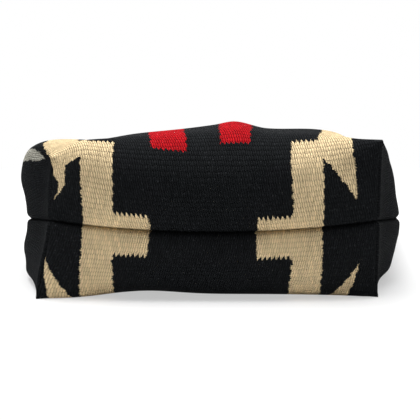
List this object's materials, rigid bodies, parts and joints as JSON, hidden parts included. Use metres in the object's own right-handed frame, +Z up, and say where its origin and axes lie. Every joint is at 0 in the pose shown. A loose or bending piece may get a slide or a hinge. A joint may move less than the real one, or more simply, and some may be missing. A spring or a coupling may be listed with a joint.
{
  "type": "tote bag",
  "caption": "Tapestry-woven wool tote bag with boxed corners and flat shoulder straps, lying on its back panel.",
  "frame": {"origin": "middle of the footprint of the lying bag and its straps, on the floor", "axes": "+Z up from the floor, +Y from the base of the bag towards its mouth and straps, +X to the right seen from the base"},
  "size_m": [0.4524, 0.5314, 0.1663],
  "materials": {
    "wool_black": "matt",
    "wool_cream": "matt",
    "wool_red": "matt",
    "wool_grey": "matt",
    "lining_cotton": "matt",
    "strap_leather": "satin"
  },
  "bodies": {
    "root": {"front_ground": "wool_black", "front_cream_left": "wool_cream", "front_cream_right": "wool_cream", "front_red_left": "wool_red", "front_red_right": "wool_red", "front_grey_left": "wool_grey", "front_grey_right": "wool_grey", "back_ground": "wool_black", "back_cream_left": "wool_cream", "back_cream_right": "wool_cream", "back_red_left": "wool_red", "back_red_right": "wool_red", "back_grey_left": "wool_grey", "back_grey_right": "wool_grey", "mouth_hem": "wool_black", "lining": "lining_cotton", "handle_front": "strap_leather", "handle_back": "strap_leather"}
  },
  "joints": []
}
